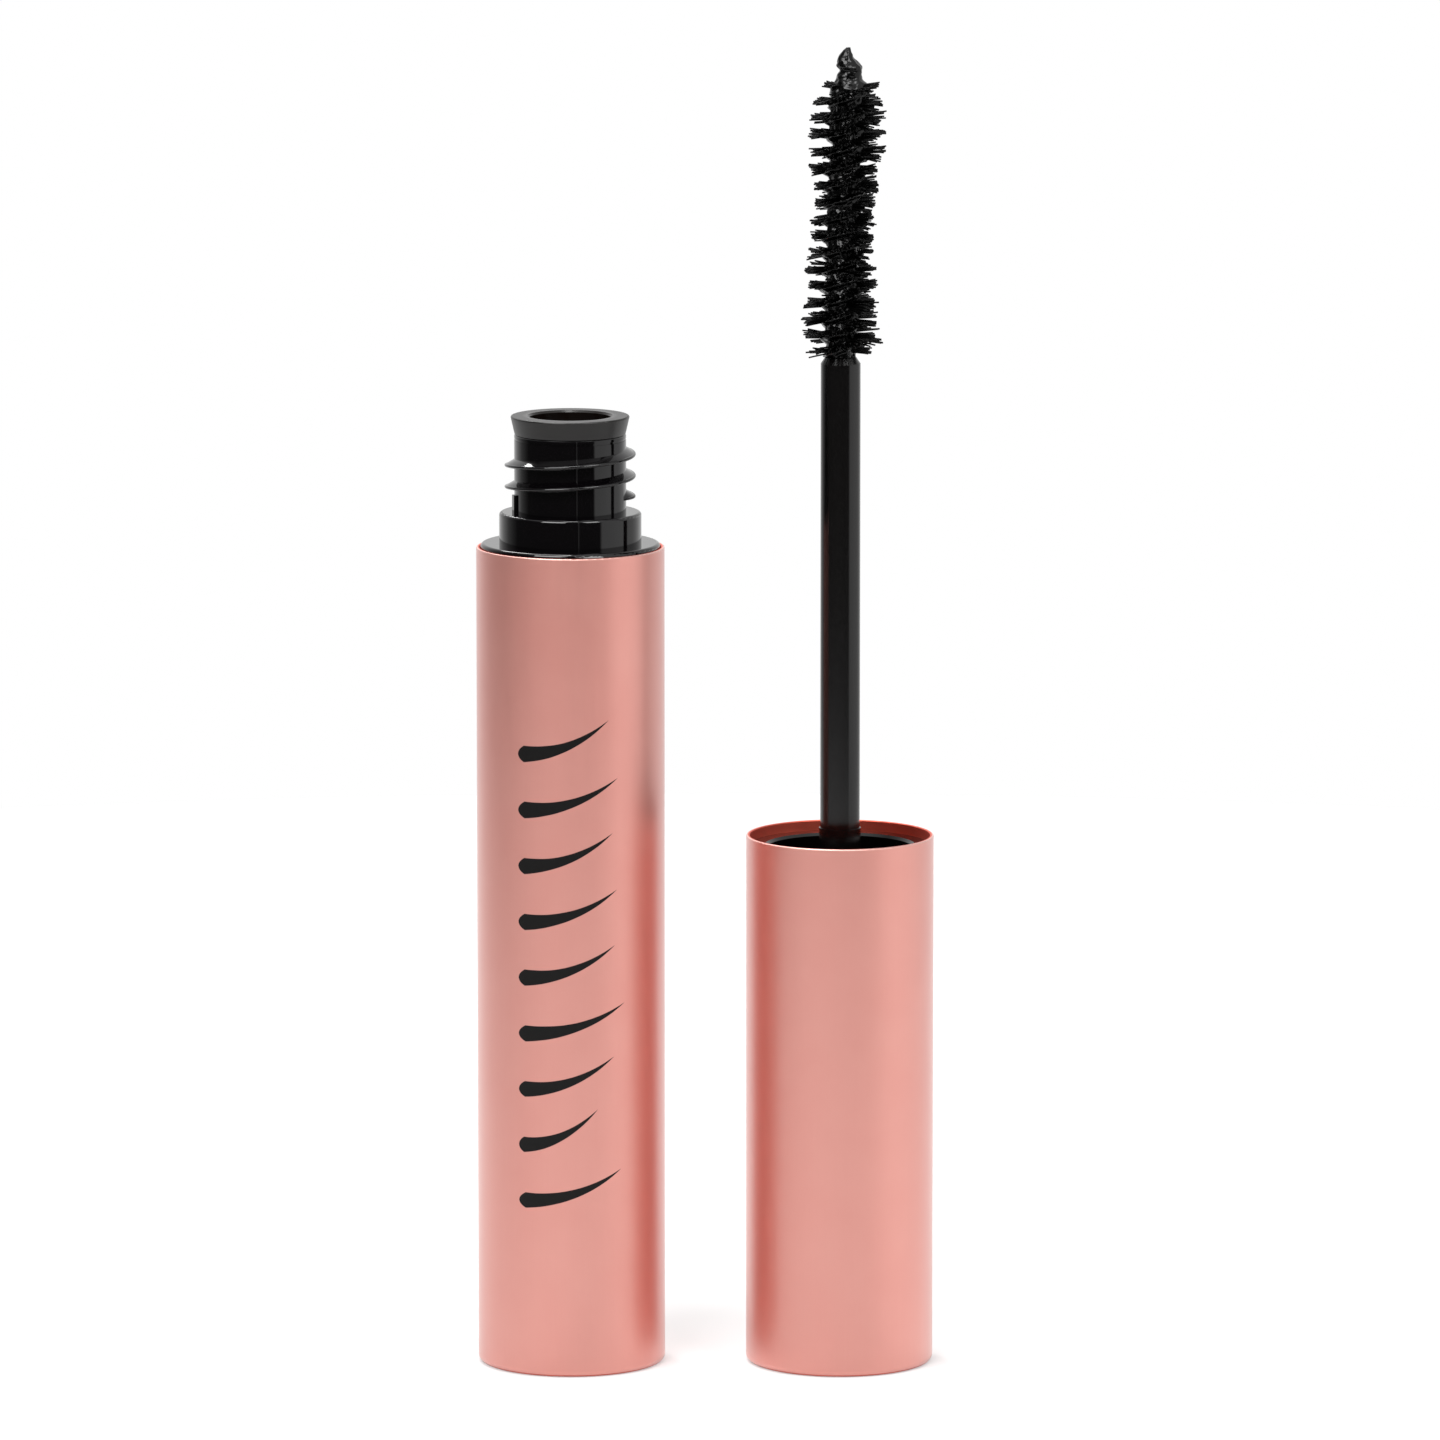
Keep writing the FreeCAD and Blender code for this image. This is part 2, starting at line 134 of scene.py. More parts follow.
camera_data = bpy.data.cameras.new("camera")
camera_data.lens = LENS_MM
camera_data.sensor_width = 36.0
camera_data.clip_start = 0.01
camera = bpy.data.objects.new("camera", camera_data)
scene.collection.objects.link(camera)
back_off = Vector((0, -math.cos(CAMERA_DOWN), math.sin(CAMERA_DOWN)))
camera.location = look_at + CAMERA_DISTANCE * back_off
camera.rotation_euler = (-back_off).to_track_quat("-Z", "Y").to_euler()
scene.camera = camera
print("camera", [round(v, 3) for v in camera.location])

# %% [markdown]
# ## Studio
#
# Metal shows its surroundings more than its own colour, so the studio is part of the finish. Behind
# and to the right stand white panels. The side that the camera is on is dim, and two soft lamps
# hang over it. The satin barrels pick the lamps up in a wide glow, and the glossy neck, which
# mirrors a narrower piece of the room, stays black with a pale stripe down its right side. A third
# lamp, long and narrow, hangs overhead for the sloping flanks of the thread.

# %% World
WHITE = colour("#FFFFFF")
BACKDROP = 1.0               # white for the camera
ROOM = 0.06                  # the dim half that the camera stands in
CEILING = 1.2
SEEN_IN_GLOSS = 0.80         # share of the backdrop's and floor's white that a mirrored view gets
# angles are round the upright axis: 0 is towards the camera, and plus is to the right
RIGHT_PANEL, RIGHT_STARTS, RIGHT_FULL = 1.0, math.radians(50), math.radians(54)
RIGHT_FADE, FADE_STARTS, FADE_ENDS = 0.32, math.radians(85), math.radians(150)
BACK_PANEL, BACK_STARTS, BACK_FULL = 0.4, math.radians(-95), math.radians(-125)


def studio_world():
    world = bpy.data.worlds.new("studio")
    world.use_nodes = True
    tree = world.node_tree
    tree.nodes.clear()
    direction = add(tree, "ShaderNodeTexCoord").outputs["Generated"]
    x, y, z = add(tree, "ShaderNodeSeparateXYZ", {0: direction}).outputs
    forward = add(tree, MATH, {0: y, 1: -1.0}, operation="MULTIPLY")
    turn = add(tree, MATH, {0: x, 1: forward}, operation="ARCTAN2")
    panel = add(tree, RANGE, {0: turn, 1: RIGHT_STARTS, 2: RIGHT_FULL, 3: 0.0, 4: RIGHT_PANEL})
    fade = add(tree, RANGE, {0: turn, 1: FADE_STARTS, 2: FADE_ENDS, 3: 1.0, 4: RIGHT_FADE})
    right = add(tree, MATH, {0: panel, 1: fade}, operation="MULTIPLY")
    behind = add(tree, RANGE, {0: turn, 1: BACK_STARTS, 2: BACK_FULL, 3: 0.0, 4: BACK_PANEL})
    above = add(tree, RANGE, {0: z, 1: 0.70, 2: 0.95, 3: 0.0, 4: CEILING})
    sides = add(tree, MATH, {0: right, 1: behind}, operation="MAXIMUM")
    lit = add(tree, MATH, {0: sides, 1: above}, operation="MAXIMUM")
    level = add(tree, MATH, {0: lit, 1: ROOM}, operation="ADD")
    room = add(tree, "ShaderNodeBackground", {"Color": WHITE, "Strength": level})
    backdrop = add(tree, "ShaderNodeBackground", {"Color": WHITE, "Strength": BACKDROP})
    path = add(tree, "ShaderNodeLightPath").outputs
    straight_behind = add(tree, RANGE, {0: y, 1: 0.5, 2: 0.85, 3: 0.0, 4: SEEN_IN_GLOSS})
    in_gloss = add(tree, MATH, {0: path["Is Glossy Ray"], 1: path["Is Transmission Ray"]},
                   operation="MAXIMUM")
    mirrored = add(tree, MATH, {0: in_gloss, 1: straight_behind}, operation="MULTIPLY")
    seen = add(tree, MATH, {0: path["Is Camera Ray"], 1: mirrored}, operation="MAXIMUM")
    mixed = add(tree, "ShaderNodeMixShader", {0: seen, 1: room, 2: backdrop})
    add(tree, "ShaderNodeOutputWorld", {"Surface": mixed})
    scene.world = world


studio_world()
print("world: room light", ROOM)

# %% Lamps


def softbox(name, place, width, height, power):
    """A rectangular lamp at place, facing the object's middle."""
    data = bpy.data.lights.new(name, "AREA")
    data.shape = "RECTANGLE"
    data.size, data.size_y = width, height
    data.energy = power
    lamp = bpy.data.objects.new(name, data)
    lamp.location = place
    lamp.rotation_euler = (centre - Vector(place)).to_track_quat("-Z", "Y").to_euler()
    scene.collection.objects.link(lamp)


centre = Vector((0.0129, 0.0, 0.06))
softbox("top_front_left", (-0.30, -0.50, 0.62), 0.5, 0.4, 7.2)
softbox("top_front_right", (0.40, -0.45, 0.60), 0.3, 0.4, 3.6)
softbox("overhead", (-0.12, 0.25, 0.74), 0.14, 0.8, 5.0)

# %% [markdown]
# ## Floor
#
# The floor is a plain pale disc. It only has to catch a faint shadow and then vanish into the
# backdrop, so to the camera it glows a little on top of the light that falls on it, which brings it
# up to white wherever the object doesn't shade it. It is no wider than that needs, because a glossy
# black neck mirrors a floor that reaches far out in front.

# %% Floor
FLOOR_RADIUS = 0.34
FLOOR_DROP = 0.02 * MM
FLOOR_GLOW = 0.40


def pale_floor():
    material, tree, output = new_material("floor_matt_white")
    matt = add(tree, "ShaderNodeBsdfDiffuse", {"Color": colour("#A8A8A8")})
    glow = add(tree, "ShaderNodeEmission", {"Color": WHITE, "Strength": FLOOR_GLOW})
    path = add(tree, "ShaderNodeLightPath").outputs
    in_gloss = add(tree, MATH, {0: path["Is Glossy Ray"], 1: path["Is Transmission Ray"]},
                   operation="MAXIMUM")
    mirrored = add(tree, MATH, {0: in_gloss, 1: SEEN_IN_GLOSS}, operation="MULTIPLY")
    seen = add(tree, MATH, {0: path["Is Camera Ray"], 1: mirrored}, operation="MAXIMUM")
    both = add(tree, "ShaderNodeAddShader", {0: matt, 1: glow})
    finish_with(tree, output, add(tree, "ShaderNodeMixShader", {0: seen, 1: matt, 2: both}))
    corners = 96
    turns = [2 * math.pi * i / corners for i in range(corners)]
    ring = [(centre.x + FLOOR_RADIUS * math.cos(a), FLOOR_RADIUS * math.sin(a), -FLOOR_DROP)
            for a in turns]
    mesh = bpy.data.meshes.new("floor")
    mesh.from_pydata(ring, [], [tuple(range(corners))])
    mesh.materials.append(material)
    floor = bpy.data.objects.new("floor", mesh)
    scene.collection.objects.link(floor)


pale_floor()
print("floor radius", FLOOR_RADIUS, "m")

# %% [markdown]
# ## Satin anodised aluminium
#
# The sleeve and the cap's shell are drawn from aluminium sheet, etched to a satin surface, dyed
# pink gold in the anodising bath and sealed. The etch spreads the reflection, the dye tints it, and
# the clear sealed layer adds a little untinted gloss. Drawing leaves the faintest upright grain. At
# the cut rim the colour is mixed a third of the way to a pale pink, a bright line along the edge,
# and the inner wall is tinted a darker, redder pink as painted shade. The grain is finer than the
# picture can show, about 0.05 mm, so it is drawn four times as coarse.

# %% Anodised aluminium
GRAIN_ACROSS = 1 / (0.2 * MM)
GRAIN_ALONG = 1 / (9 * MM)
ETCH = 1 / (0.12 * MM)
CLOUD = 1 / (6 * MM)
RIM_LINE = 0.16 * MM
SKIN, WALL_INSIDE = 0.12 * MM, 0.2 * MM     # depths under the outside where the inner wall starts


def anodised_aluminium(name, axis_x, rim_height, print_on_it=None):
    material, tree, output = new_material(name)
    corner = add(tree, "ShaderNodeTexCoord").outputs["Object"]
    place = add(tree, "ShaderNodeMapping", {"Vector": corner, "Location": (-axis_x, 0, 0)})
    drawn = add(tree, "ShaderNodeMapping", {
        "Vector": place, "Scale": (GRAIN_ACROSS, GRAIN_ACROSS, GRAIN_ALONG)})
    grain = add(tree, "ShaderNodeTexNoise", {"Vector": drawn, "Scale": 1.0, "Detail": 4.0})
    cloud = add(tree, "ShaderNodeTexNoise", {"Vector": place, "Scale": CLOUD, "Detail": 3.0})
    etch = add(tree, "ShaderNodeTexNoise", {"Vector": place, "Scale": ETCH, "Detail": 2.0})
    axes = add(tree, "ShaderNodeSeparateXYZ", {0: place}).outputs
    flat = add(tree, "ShaderNodeCombineXYZ", {"X": axes["X"], "Y": axes["Y"]})
    radius = add(tree, VECTOR_MATH, {0: flat}, operation="LENGTH").outputs["Value"]
    inside = add(tree, RANGE, {0: radius, 1: wall_radius - SKIN, 2: wall_radius - WALL_INSIDE})
    patch = add(tree, RANGE, {0: cloud, 1: 0.3, 2: 0.7})
    dye = add(tree, "ShaderNodeMix", {
        "Factor": patch, 6: colour("#DE988D"), 7: colour("#E09C91")}, data_type="RGBA").outputs[2]
    # over the last 0.16 mm under the rim the colour goes a third of the way to pale pink, a bright
    # line
    pale_rim_line = add(tree, RANGE, {
        0: axes["Z"], 1: rim_height - RIM_LINE, 2: rim_height - RIM_LINE / 3, 3: 0.0, 4: 0.35})
    tint = add(tree, "ShaderNodeMix", {
        "Factor": pale_rim_line, 6: dye, 7: colour("#F0CFC4")}, data_type="RGBA").outputs[2]
    # the inner wall goes to a darker, redder pink: painted shade inside the shell
    tint = add(tree, "ShaderNodeMix", {
        "Factor": inside, 6: tint, 7: colour("#D4604E")}, data_type="RGBA").outputs[2]
    bump = add(tree, "ShaderNodeBump", {"Strength": 0.02, "Distance": 0.01 * MM, "Height": grain})
    fine = add(tree, "ShaderNodeBump", {
        "Strength": 0.04, "Distance": 0.01 * MM, "Height": etch, "Normal": bump})
    metal = add(tree, "ShaderNodeBsdfPrincipled", {
        "Base Color": tint, "Metallic": 1.0,
        "Roughness": add(tree, RANGE, {0: grain, 1: 0.3, 2: 0.7, 3: 0.44, 4: 0.47}),
        "Coat Weight": add(tree, RANGE, {0: inside, 1: 0.0, 2: 1.0, 3: 1.0, 4: 0.0}),
        "Coat Roughness": 0.3, "Normal": fine})
    if print_on_it is None:
        finish_with(tree, output, metal)
        return material
    ink = add(tree, "ShaderNodeBsdfPrincipled", {
        "Base Color": colour("#050404"), "IOR": 1.3, "Normal": fine,
        "Roughness": add(tree, RANGE, {0: etch, 1: 0.3, 2: 0.7, 3: 0.34, 4: 0.46})})
    inked = print_on_it(tree, axes, cloud)
    finish_with(tree, output, add(tree, "ShaderNodeMixShader", {0: inked, 1: metal, 2: ink}))
    return material


# %% [markdown]
# ## Printed ornament
#
# The sleeve's front carries an ornament in screen-printed black ink. Here it is a row of sweeping
# lash strokes, drawn from a height and an angle round the barrel. Every stroke starts blunt on the
# left, curls upwards, and thins to a point, and each differs a little in its length and curl.

# %% Ornament
STROKE_STEP = 5.4 * MM
STROKE_FIRST, STROKE_LAST = 3, 11           # steps up the barrel that carry a stroke
STROKE_LEFT, STROKE_LONG = -5.2 * MM, 11.0 * MM
STROKE_WIDE = 0.85 * MM
STROKE_LIFT = 0.95 * MM
FLAT_CURL, STEEP_CURL = 3.6 * MM, 2.9 * MM
INK_EDGE = 0.03 * MM


def lash_strokes(tree, axes, wear):
    backwards = add(tree, MATH, {0: axes["Y"], 1: -1.0}, operation="MULTIPLY")
    turn = add(tree, MATH, {0: axes["X"], 1: backwards}, operation="ARCTAN2")
    across = add(tree, MATH, {0: turn, 1: wall_radius}, operation="MULTIPLY")

    steps = add(tree, MATH, {0: axes["Z"], 1: STROKE_STEP}, operation="DIVIDE")
    cell = add(tree, MATH, {0: steps}, operation="FLOOR")
    foot = add(tree, MATH, {0: cell, 1: STROKE_STEP}, operation="MULTIPLY")
    up = add(tree, MATH, {0: axes["Z"], 1: foot}, operation="SUBTRACT")
    chance = add(tree, "ShaderNodeTexWhiteNoise", {"W": cell}, noise_dimensions="1D")
    chance = chance.outputs["Value"]

    short = add(tree, RANGE, {0: chance, 1: 0.0, 2: 1.0, 3: 0.72, 4: 1.0})
    long = add(tree, MATH, {0: short, 1: STROKE_LONG}, operation="MULTIPLY")
    from_left = add(tree, MATH, {0: across, 1: STROKE_LEFT}, operation="SUBTRACT")
    share = add(tree, MATH, {0: from_left, 1: long}, operation="DIVIDE")

    sweep = add(tree, MATH, {0: share, 1: 2.2}, operation="POWER")
    height = add(tree, RANGE, {0: chance, 1: 0.0, 2: 1.0, 3: FLAT_CURL, 4: STEEP_CURL})
    curl = add(tree, MATH, {0: height, 1: sweep}, operation="MULTIPLY")
    line = add(tree, MATH, {0: curl, 1: STROKE_LIFT}, operation="ADD")
    gap = add(tree, MATH, {0: up, 1: line}, operation="SUBTRACT")
    off = add(tree, MATH, {0: gap}, operation="ABSOLUTE")

    left = add(tree, MATH, {0: 1.0, 1: share}, operation="SUBTRACT")
    left = add(tree, MATH, {0: left, 1: 0.0}, operation="MAXIMUM")
    taper = add(tree, MATH, {0: left, 1: 0.8}, operation="POWER")
    start = add(tree, RANGE, {0: share, 1: 0.0, 2: 0.07, 3: 0.0, 4: 1.0})
    rounded = add(tree, MATH, {0: start, 1: 0.5}, operation="POWER")
    shape = add(tree, MATH, {0: taper, 1: rounded}, operation="MULTIPLY")
    ragged = add(tree, RANGE, {0: wear, 1: 0.3, 2: 0.7, 3: 0.94, 4: 1.04})
    width = add(tree, MATH, {0: ragged, 1: STROKE_WIDE}, operation="MULTIPLY")
    half = add(tree, MATH, {0: shape, 1: width}, operation="MULTIPLY")

    within = add(tree, MATH, {0: half, 1: off}, operation="SUBTRACT")
    inked = add(tree, RANGE, {0: within, 1: 0.0, 2: INK_EDGE, 3: 0.0, 4: 1.0})
    started = add(tree, MATH, {0: share, 1: 0.0}, operation="GREATER_THAN")
    above = add(tree, MATH, {0: cell, 1: STROKE_FIRST - 0.5}, operation="GREATER_THAN")
    below = add(tree, MATH, {0: cell, 1: STROKE_LAST + 0.5}, operation="LESS_THAN")
    for limit in (started, above, below):
        inked = add(tree, MATH, {0: inked, 1: limit}, operation="MULTIPLY")
    return inked


sleeve_finish = anodised_aluminium("satin_anodised_sleeve", 0.0, sleeve_rim, lash_strokes)
cap_finish = anodised_aluminium("satin_anodised_cap", wand_x, cap_rim)
print("made", sleeve_finish.name, "and", cap_finish.name)

# %% [markdown]
# ## Black mouldings
#
# The bottle and the cap's lining are injection moulded polypropylene with a polished mould, so they
# are black and glossy, with a slight waviness where the plastic shrank. The two halves of the
# neck's mould meet in a hair-thin parting line. The cap's lining is a little less polished than the
# neck, and the rod less again.

# %% Black plastics
PARTING_TURN = math.radians(7.5)
PARTING_WIDTH = 0.035 * MM


def black_moulding(name, shade, low_gloss, high_gloss, wave, parting=False):
    material, tree, output = new_material(name)
    place = add(tree, "ShaderNodeTexCoord").outputs["Object"]
    ripple = add(tree, "ShaderNodeTexNoise", {
        "Vector": place, "Scale": 1 / (2.2 * MM), "Detail": 2.0})
    speck = add(tree, "ShaderNodeTexNoise", {
        "Vector": place, "Scale": 1 / (0.15 * MM), "Detail": 2.0})
    normal = add(tree, "ShaderNodeBump", {
        "Strength": wave, "Distance": 0.05 * MM, "Height": ripple})
    if parting:
        turned = add(tree, "ShaderNodeMapping", {
            "Vector": place, "Rotation": (0, 0, -PARTING_TURN)})
        across = add(tree, "ShaderNodeSeparateXYZ", {0: turned}).outputs["X"]
        off = add(tree, MATH, {0: across}, operation="ABSOLUTE")
        ridge = add(tree, RANGE, {0: off, 1: 0.0, 2: PARTING_WIDTH, 3: 1.0, 4: 0.0})
        normal = add(tree, "ShaderNodeBump", {
            "Strength": 0.7, "Distance": 0.03 * MM, "Height": ridge, "Normal": normal})
    finish_with(tree, output, add(tree, "ShaderNodeBsdfPrincipled", {
        "Base Color": colour(shade), "IOR": 1.46, "Normal": normal,
        "Roughness": add(tree, RANGE, {0: speck, 1: 0.3, 2: 0.7, 3: low_gloss, 4: high_gloss})}))
    return material


bottle_finish = black_moulding("polished_black_bottle", "#040304", 0.05, 0.09, 0.08, parting=True)
lining_finish = black_moulding("polished_black_cap_lining", "#040303", 0.10, 0.16, 0.06)
rod_finish = black_moulding("satin_black_rod", "#050404", 0.14, 0.20, 0.05)
print("made", bottle_finish.name, lining_finish.name, rod_finish.name)

# %% [markdown]
# ## Soft plastics and steel
#
# The wiper is low density polyethylene, soft enough to flex round the rod, with a dull, nearly
# black surface that the mascara has stained inside. The washer is closed-cell foam, and the wire is
# drawn stainless steel, hidden under the mascara nearly everywhere.

# %% Wiper, washer and wire
STAINED, CLEAN = 4.05 * MM, 4.6 * MM        # distances from the wiper's axis


def soft_wiper():
    material, tree, output = new_material("soft_polyethylene_wiper")
    place = add(tree, "ShaderNodeTexCoord").outputs["Object"]
    skin = add(tree, "ShaderNodeTexNoise", {
        "Vector": place, "Scale": 1 / (0.25 * MM), "Detail": 3.0})
    smear = add(tree, "ShaderNodeTexNoise", {
        "Vector": place, "Scale": 1 / (1.6 * MM), "Detail": 3.0})
    axes = add(tree, "ShaderNodeSeparateXYZ", {0: place}).outputs
    flat = add(tree, "ShaderNodeCombineXYZ", {"X": axes["X"], "Y": axes["Y"]})
    radius = add(tree, VECTOR_MATH, {0: flat}, operation="LENGTH").outputs["Value"]
    inside = add(tree, RANGE, {0: radius, 1: STAINED, 2: CLEAN, 3: 1.0, 4: 0.0})
    patch = add(tree, RANGE, {0: smear, 1: 0.42, 2: 0.6, 3: 0.55, 4: 1.0})
    stain = add(tree, MATH, {0: inside, 1: patch}, operation="MULTIPLY")
    tone = add(tree, "ShaderNodeMix", {
        "Factor": stain, 6: colour("#0E0C0B"), 7: colour("#0A0503")}, data_type="RGBA").outputs[2]
    bump = add(tree, "ShaderNodeBump", {"Strength": 0.12, "Distance": 0.02 * MM, "Height": skin})
    finish_with(tree, output, add(tree, "ShaderNodeBsdfPrincipled", {
        "Base Color": tone, "IOR": 1.42, "Normal": bump,
        "Roughness": add(tree, RANGE, {0: stain, 1: 0.0, 2: 1.0, 3: 0.34, 4: 0.2})}))
    return material


def foam_washer():
    material, tree, output = new_material("closed_cell_foam")
    place = add(tree, "ShaderNodeTexCoord").outputs["Object"]
    cells = add(tree, "ShaderNodeTexVoronoi", {"Vector": place, "Scale": 1 / (0.18 * MM)})
    bump = add(tree, "ShaderNodeBump", {"Strength": 0.4, "Distance": 0.03 * MM, "Height": cells})
    tone = add(tree, "ShaderNodeMix", {
        "Factor": cells, 6: colour("#D9D5CF"), 7: colour("#EDEAE4")}, data_type="RGBA").outputs[2]
    finish_with(tree, output, add(tree, "ShaderNodeBsdfPrincipled", {
        "Base Color": tone, "Roughness": 0.85, "Normal": bump}))
    return material


def drawn_steel():
    material, tree, output = new_material("drawn_stainless_wire")
    place = add(tree, "ShaderNodeTexCoord").outputs["Object"]
    streak = add(tree, "ShaderNodeTexNoise", {
        "Vector": place, "Scale": 1 / (0.1 * MM), "Detail": 3.0})
    finish_with(tree, output, add(tree, "ShaderNodeBsdfPrincipled", {
        "Base Color": colour("#B9B8B6"), "Metallic": 1.0,
        "Roughness": add(tree, RANGE, {0: streak, 1: 0.3, 2: 0.7, 3: 0.22, 4: 0.34})}))
    return material


wiper_finish = soft_wiper()
washer_finish = foam_washer()
wire_finish = drawn_steel()
print("made", wiper_finish.name, washer_finish.name, wire_finish.name)

# %% [markdown]
# ## Wet mascara and the fibres under it
#
# Mascara is wax and carbon black in water. Fresh from the tube it is black with a wet gloss, broken
# up by lumps of a few tenths of a millimetre. The nylon fibres carry a thin skin of it, so they
# share the colour but are duller, because the skin dries first there. The wet mascara has water's
# index of refraction. The fibres have a lower one than any wax, which keeps their many lit edges
# from adding up to grey.

# %% Mascara


def mascara(name, shade, ior, low_gloss, high_gloss, lump, strength):
    material, tree, output = new_material(name)
    place = add(tree, "ShaderNodeTexCoord").outputs["Object"]
    lumps = add(tree, "ShaderNodeTexNoise", {
        "Vector": place, "Scale": 1 / (lump * MM), "Detail": 5.0})
    bump = add(tree, "ShaderNodeBump", {
        "Strength": strength, "Distance": 0.08 * MM, "Height": lumps})
    finish_with(tree, output, add(tree, "ShaderNodeBsdfPrincipled", {
        "Base Color": colour(shade), "IOR": ior, "Normal": bump,
        "Roughness": add(tree, RANGE, {0: lumps, 1: 0.35, 2: 0.65, 3: low_gloss, 4: high_gloss})}))
    return material


wet_mascara = mascara("wet_mascara", "#020202", 1.33, 0.10, 0.30, 0.5, 0.3)
coated_fibre = mascara("mascara_coated_nylon", "#020202", 1.2, 0.34, 0.5, 0.25, 0.25)
print("made", wet_mascara.name, coated_fibre.name)

# %% Give the CAD pieces their finish
FINISHES = {
    "tube_sleeve": sleeve_finish, "cap_shell": cap_finish, "bottle": bottle_finish,
    "inner_cap": lining_finish, "rod": rod_finish, "wiper": wiper_finish,
    "seal_washer": washer_finish, "brush_wire": wire_finish, "mascara_paste": wet_mascara}
for node, finish in FINISHES.items():
    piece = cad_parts[node]
    for slot in piece.material_slots:
        slot.material = finish
print("finished", len(FINISHES), "pieces")

# %% [markdown]
# ## The brush's own line
#
# A used brush is seldom quite straight. This one leaves the rod in line with it and bends a little
# to one side, more and more towards its end. Both the mascara and the fibres are made on a straight
# axis and then follow this one curve, so they bend together.

# %% The bend
BEND = 1.2                   # metres of sideways shift for each square metre along: 0.8 mm at 26 mm
brush_start = rod_end
brush_length = brush_end - brush_start


def bend_at(along):
    """Sideways shift of the brush's axis so far along it."""
    return BEND * along * abs(along)


print(f"brush {brush_length / MM:.1f} mm long, "
      f"its end {bend_at(brush_length) / MM:.2f} mm off the axis")

# %% [markdown]
# ## Mascara round the wire
#
# Under the fibres the wire is buried in mascara. It isn't a smooth rod of it: the fibres comb it
# into two ridges that wind round with the wire's twist, and it carries lumps. A lathe-like lattice
# of points, each pushed out by the ridges and by noise, gives that with one closed skin.

# %% Mascara coat
TWIST_PITCH = 3.2 * MM
COAT_RADIUS = 1.52 * MM
RIDGE = 0.48 * MM
LUMP = 0.34 * MM


def skin_of_rings(name, rings):
    """Closed mesh through rings of points, each end drawn in to a point at its middle."""
    count = len(rings[0])
    points = [p for ring in rings for p in ring]
    faces = []
    for i in range(len(rings) - 1):
        for j in range(count):
            k = (j + 1) % count
            a, b = i * count, (i + 1) * count
            faces.append((a + j, a + k, b + k, b + j))
    for ring, flip in ((rings[0], True), (rings[-1], False)):
        start = 0 if flip else (len(rings) - 1) * count
        points.append(sum(ring, Vector()) / count)
        tip = len(points) - 1
        for j in range(count):
            k = (j + 1) % count
            faces.append((start + k, start + j, tip) if flip else (start + j, start + k, tip))
    mesh = bpy.data.meshes.new(name)
    mesh.from_pydata(points, [], faces)
    mesh.shade_smooth()
    made = bpy.data.objects.new(name, mesh)
    scene.collection.objects.link(made)
    return made


def mascara_coat():
    around, steps = 72, 240
    first = 0.02 * MM
    rings = []
    for i in range(steps + 1):
        share = i / steps
        along = first + (brush_length - first) * share
        swell = (0.82 + 0.18 * min(1.0, share * 12)) * (1.0 - 0.25 * max(0.0, (share - 0.9) / 0.1))
        ring = []
        for j in range(around):
            angle = 2 * math.pi * j / around
            fan = math.cos(2 * (angle - 2 * math.pi * along / TWIST_PITCH))
            out = Vector((math.cos(angle), math.sin(angle), 0))
            seat = Vector((out.x * 1.4, out.y * 1.4, along / MM))
            bump = LUMP * noise.noise(seat * 1.1) + 0.45 * LUMP * noise.noise(seat * 3.1)
            radius = swell * (COAT_RADIUS + RIDGE * max(0.0, fan) ** 2 + bump)
            ring.append(Vector((wand_x + bend_at(along), 0, brush_start + along)) + out * radius)
        rings.append(ring)
    coat = skin_of_rings("mascara_coat", rings)
    coat.data.materials.append(wet_mascara)
    return coat


coat = mascara_coat()
print("mascara coat:", len(coat.data.polygons), "faces")

# %% [markdown]
# ## The drop at the end
#
# Pulled out through the wiper, the brush brings a drop of mascara up past its last fibres. It has
# dragged out to a soft peak that leans and is pinched on one side. Here each ring of the lattice has
# its own middle and radius, which is all that such a lump needs.

# %% Drop of mascara
# height above the brush's end, sideways shift from the bent axis, radius: all in millimetres
DROP_RINGS = [(-1.3, 0.00, 1.75), (-0.6, 0.05, 1.78), (0.0, 0.10, 1.55), (0.35, 0.02, 1.28),
              (0.8, -0.02, 1.18), (1.2, 0.00, 1.06), (1.55, -0.20, 1.22), (1.9, -0.30, 1.02),
              (2.4, -0.52, 0.72), (2.8, -0.52, 0.54), (3.1, -0.46, 0.38), (3.35, -0.38, 0.20)]


def smooth_between(table, height):
    """Middle and radius at a height, by Catmull-Rom between the rows of the table."""
    rows = [table[0]] + list(table) + [table[-1]]
    for i in range(1, len(rows) - 2):
        if height <= rows[i + 1][0] or i == len(rows) - 3:
            span = rows[i + 1][0] - rows[i][0]
            t = min(1.0, max(0.0, (height - rows[i][0]) / span))
            out = []
            for column in (1, 2):
                a, b, c, d = (rows[i + k][column] for k in (-1, 0, 1, 2))
                out.append(0.5 * (2 * b + (c - a) * t + (2 * a - 5 * b + 4 * c - d) * t ** 2
                                  + (3 * b - a - 3 * c + d) * t ** 3))
            return out


def mascara_drop():
    around, steps = 56, 90
    low, high = DROP_RINGS[0][0], DROP_RINGS[-1][0]
    end = brush_end
    rings = []
    for i in range(steps + 1):
        height = low + (high - low) * i / steps
        shift, radius = smooth_between(DROP_RINGS, height)
        along = end + height * MM - brush_start
        ring = []
        for j in range(around):
            angle = 2 * math.pi * j / around
            out = Vector((math.cos(angle), math.sin(angle), 0))
            seat = Vector((out.x, out.y, height * 0.8))
            lump = 1.0 + 0.16 * noise.noise(seat * 1.3) + 0.07 * noise.noise(seat * 4.0)
            middle_x = wand_x + bend_at(along) + shift * MM
            ring.append(Vector((middle_x, 0, end + height * MM)) + out * radius * lump * MM)
        rings.append(ring)
    drop = skin_of_rings("mascara_drop", rings)
    drop.data.materials.append(wet_mascara)
    return drop


drop = mascara_drop()
for piece in (coat, drop):
    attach(piece, "wand")
    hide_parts("brush_paste")
print("drop tops out at", round((max(v.co.z for v in drop.data.vertices)) / MM, 1), "mm")

